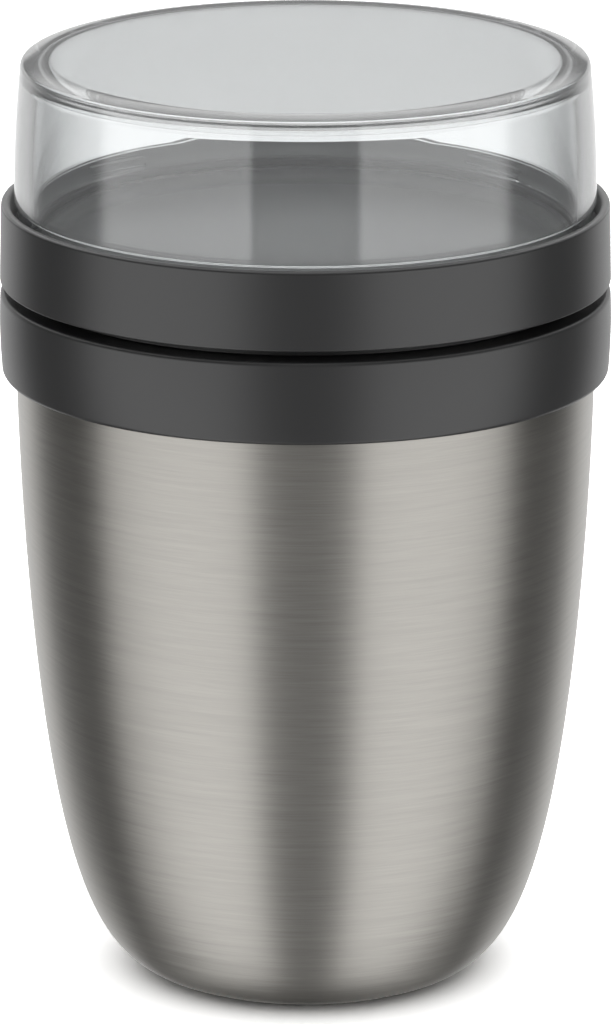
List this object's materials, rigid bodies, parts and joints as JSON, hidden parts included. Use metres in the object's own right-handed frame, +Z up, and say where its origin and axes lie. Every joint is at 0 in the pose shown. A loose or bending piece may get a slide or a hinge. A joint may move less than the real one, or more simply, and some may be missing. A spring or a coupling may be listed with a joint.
{
  "type": "insulated lunch pot",
  "caption": "Double-walled steel food pot with a dark collar, a screw lid that carries a tray, and a clear screw cover over the tray.",
  "frame": {"origin": "on the surface that the pot stands on, below the pot's axis", "axes": "+Z up along the pot's axis, +X to the right as the picture sees it, -Y towards the viewer"},
  "size_m": [0.1072, 0.1072, 0.1653],
  "materials": {
    "brushed_shell": "brushed round the axis",
    "plain_steel": "satin",
    "solder": "dull",
    "getter_metal": "pressed powder",
    "copper_foil": "bright foil",
    "dark_plastic": "satin",
    "dark_silicone": "matte",
    "pale_foam": "closed-cell foam",
    "clear_plastic": "clear"
  },
  "bodies": {
    "pot": {"outer_shell": "brushed_shell", "base_plate": "plain_steel", "vacuum_bead": "solder", "getter_clip": "plain_steel", "getter": "getter_metal", "inner_liner": "plain_steel", "heat_foil": "copper_foil", "neck_collar": "dark_plastic"},
    "lid_carrier": {"lid_seal": "dark_silicone"},
    "lid": {"lid_ring": "dark_plastic", "lid_plug": "dark_plastic", "lid_foam": "pale_foam"},
    "cover_carrier": {"cover_seal": "dark_silicone"},
    "cover": {"clear_cover": "clear_plastic"}
  },
  "joints": [
    {"name": "lid_rise", "type": "slide", "parent": "pot", "child": "lid_carrier", "axis": [0, 0, 1], "range_m": [0, 0.018]},
    {"name": "lid_turn", "type": "hinge", "parent": "lid_carrier", "child": "lid", "pos_m": [0, 0, 0.13], "axis": [0, 0, 1], "range_deg": [0, 540]},
    {"name": "cover_rise", "type": "slide", "parent": "lid", "child": "cover_carrier", "axis": [0, 0, 1], "range_m": [0, 0.009]},
    {"name": "cover_turn", "type": "hinge", "parent": "cover_carrier", "child": "cover", "pos_m": [0, 0, 0.135], "axis": [0, 0, 1], "range_deg": [0, 270]}
  ],
  "couplings": [
    {"joint": "lid_rise", "follows": "lid_turn", "m_per_rad": 0.0019099},
    {"joint": "cover_rise", "follows": "cover_turn", "m_per_rad": 0.0019099}
  ]
}
